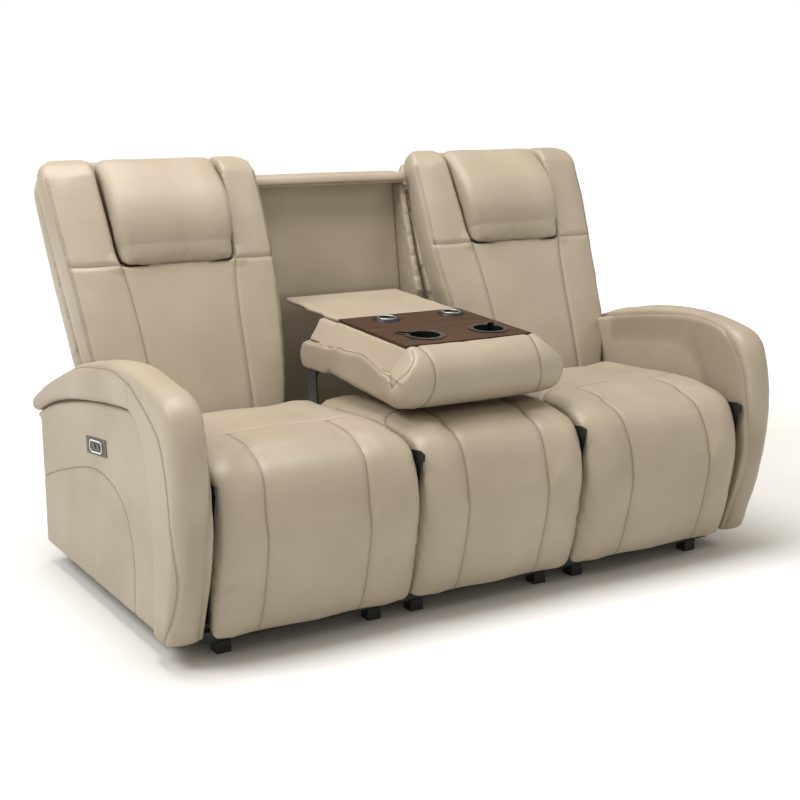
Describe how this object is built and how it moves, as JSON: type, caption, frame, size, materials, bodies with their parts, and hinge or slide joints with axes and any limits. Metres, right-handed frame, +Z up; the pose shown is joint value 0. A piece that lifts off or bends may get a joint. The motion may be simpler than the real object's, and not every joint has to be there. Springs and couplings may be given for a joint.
{
  "type": "reclining sofa with drop down console",
  "caption": "Leather reclining sofa with rounded arms, tilting headrests and a fold-down centre console holding cup wells and charging pads.",
  "frame": {"origin": "on the floor, at the centre of the sofa's footprint box", "axes": "+X towards the right end as seen from the front, -Y out of the front, +Z up"},
  "size_m": [1.76, 1.0414, 1.106],
  "materials": {
    "leather": "soft semi-matt warm beige hide with a fine grain",
    "dark_wood": "satin dark walnut",
    "frame_wood": "raw pale hardwood",
    "black_steel": "satin black paint",
    "bright_steel": "zinc plated",
    "bronze": "dark bronze satin",
    "chrome": "polished",
    "aluminium": "cast and machined",
    "black_plastic": "matt black",
    "button_plastic": "gloss black",
    "cup_plastic": "satin black",
    "charger_plastic": "gloss black",
    "webbing": "woven elastic strap"
  },
  "bodies": {
    "frame": {"base_rails": "black_steel", "feet": "black_plastic", "centre_seat_frame": "frame_wood", "centre_seat_cushion": "leather", "seat_webbing": "webbing", "centre_back_panel": "leather", "centre_back_rail": "leather", "centre_back_posts": "leather", "console_hinge_brackets": "bright_steel", "left_arm_panel": "leather", "left_arm_pad": "leather", "left_switch_plate": "bronze", "left_switch_ring": "chrome", "left_seat_frame": "frame_wood", "left_seat_cushion": "leather", "left_mechanism_plates": "black_steel", "left_drive_motor": "black_plastic", "right_arm_panel": "leather", "right_arm_pad": "leather", "right_switch_plate": "bronze", "right_switch_ring": "chrome", "right_seat_frame": "frame_wood", "right_seat_cushion": "leather", "right_mechanism_plates": "black_steel", "right_drive_motor": "black_plastic"},
    "left_footrest": {"left_footrest_board": "frame_wood", "left_footrest_pad": "leather", "left_footrest_brackets": "black_steel"},
    "left_crank": {"left_footrest_cranks": "black_steel"},
    "left_coupler": {"left_footrest_couplers": "black_steel"},
    "left_drive": {"left_drive_block": "aluminium"},
    "left_back": {"left_back_frame": "black_steel", "left_back_cushion": "leather", "left_back_shell": "leather"},
    "left_headrest": {"left_headrest_pad": "leather", "left_headrest_bracket": "black_steel"},
    "left_recline_button": {"left_recline_button": "button_plastic"},
    "left_headrest_button": {"left_headrest_button": "button_plastic"},
    "right_footrest": {"right_footrest_board": "frame_wood", "right_footrest_pad": "leather", "right_footrest_brackets": "black_steel"},
    "right_crank": {"right_footrest_cranks": "black_steel"},
    "right_coupler": {"right_footrest_couplers": "black_steel"},
    "right_drive": {"right_drive_block": "aluminium"},
    "right_back": {"right_back_frame": "black_steel", "right_back_cushion": "leather", "right_back_shell": "leather"},
    "right_headrest": {"right_headrest_pad": "leather", "right_headrest_bracket": "black_steel"},
    "right_recline_button": {"right_recline_button": "button_plastic"},
    "right_headrest_button": {"right_headrest_button": "button_plastic"},
    "console": {"console_arms": "bright_steel", "console_pad": "leather", "console_tray": "leather", "console_wood_top": "dark_wood", "console_deck": "leather", "left_cup_holder": "cup_plastic", "right_cup_holder": "cup_plastic", "wireless_chargers": "charger_plastic"}
  },
  "joints": [
    {"name": "left_footrest_open", "type": "hinge", "parent": "frame", "child": "left_footrest", "pos_m": [0, -0.483, 0.429], "axis": [-1, 0, 0], "range_deg": [0, 88]},
    {"name": "left_crank_turn", "type": "hinge", "parent": "frame", "child": "left_crank", "pos_m": [0, -0.37902, 0.41439], "axis": [-1, 0, 0], "range_deg": [0, 88]},
    {"name": "left_coupler_turn", "type": "hinge", "parent": "left_crank", "child": "left_coupler", "pos_m": [0, -0.32973, 0.32168], "axis": [-1, 0, 0], "range_deg": [-88, 0]},
    {"name": "left_drive_slide", "type": "slide", "parent": "frame", "child": "left_drive", "axis": [0, -1, 0], "range_m": [0, 0.12]},
    {"name": "left_back_recline", "type": "hinge", "parent": "frame", "child": "left_back", "pos_m": [0, 0.15313, 0.34759], "axis": [-1, 0, 0], "range_deg": [0, 33]},
    {"name": "left_headrest_tilt", "type": "hinge", "parent": "left_back", "child": "left_headrest", "pos_m": [0, 0.24473, 0.83839], "axis": [1, 0, 0], "range_deg": [0, 35]},
    {"name": "left_recline_press", "type": "slide", "parent": "frame", "child": "left_recline_button", "axis": [1, 0, 0], "range_m": [0, 0.0015], "stiffness_N_per_m": 200},
    {"name": "left_headrest_press", "type": "slide", "parent": "frame", "child": "left_headrest_button", "axis": [1, 0, 0], "range_m": [0, 0.0015], "stiffness_N_per_m": 200},
    {"name": "right_footrest_open", "type": "hinge", "parent": "frame", "child": "right_footrest", "pos_m": [0, -0.483, 0.429], "axis": [-1, 0, 0], "range_deg": [0, 88]},
    {"name": "right_crank_turn", "type": "hinge", "parent": "frame", "child": "right_crank", "pos_m": [0, -0.37902, 0.41439], "axis": [-1, 0, 0], "range_deg": [0, 88]},
    {"name": "right_coupler_turn", "type": "hinge", "parent": "right_crank", "child": "right_coupler", "pos_m": [0, -0.32973, 0.32168], "axis": [-1, 0, 0], "range_deg": [-88, 0]},
    {"name": "right_drive_slide", "type": "slide", "parent": "frame", "child": "right_drive", "axis": [0, -1, 0], "range_m": [0, 0.12]},
    {"name": "right_back_recline", "type": "hinge", "parent": "frame", "child": "right_back", "pos_m": [0, 0.15313, 0.34759], "axis": [-1, 0, 0], "range_deg": [0, 33]},
    {"name": "right_headrest_tilt", "type": "hinge", "parent": "right_back", "child": "right_headrest", "pos_m": [0, 0.24473, 0.83839], "axis": [1, 0, 0], "range_deg": [0, 35]},
    {"name": "right_recline_press", "type": "slide", "parent": "frame", "child": "right_recline_button", "axis": [-1, 0, 0], "range_m": [0, 0.0015], "stiffness_N_per_m": 200},
    {"name": "right_headrest_press", "type": "slide", "parent": "frame", "child": "right_headrest_button", "axis": [-1, 0, 0], "range_m": [0, 0.0015], "stiffness_N_per_m": 200},
    {"name": "console_fold", "type": "hinge", "parent": "frame", "child": "console", "pos_m": [0, 0.096, 0.538], "axis": [-1, 0, 0], "range_deg": [0, 116.5]}
  ],
  "couplings": [
    {"joint": "left_crank_turn", "follows": "left_footrest_open", "ratio": 1},
    {"joint": "left_coupler_turn", "follows": "left_footrest_open", "ratio": -1},
    {"joint": "left_drive_slide", "follows": "left_footrest_open", "m_per_rad": 0.078},
    {"joint": "right_crank_turn", "follows": "right_footrest_open", "ratio": 1},
    {"joint": "right_coupler_turn", "follows": "right_footrest_open", "ratio": -1},
    {"joint": "right_drive_slide", "follows": "right_footrest_open", "m_per_rad": 0.078}
  ]
}
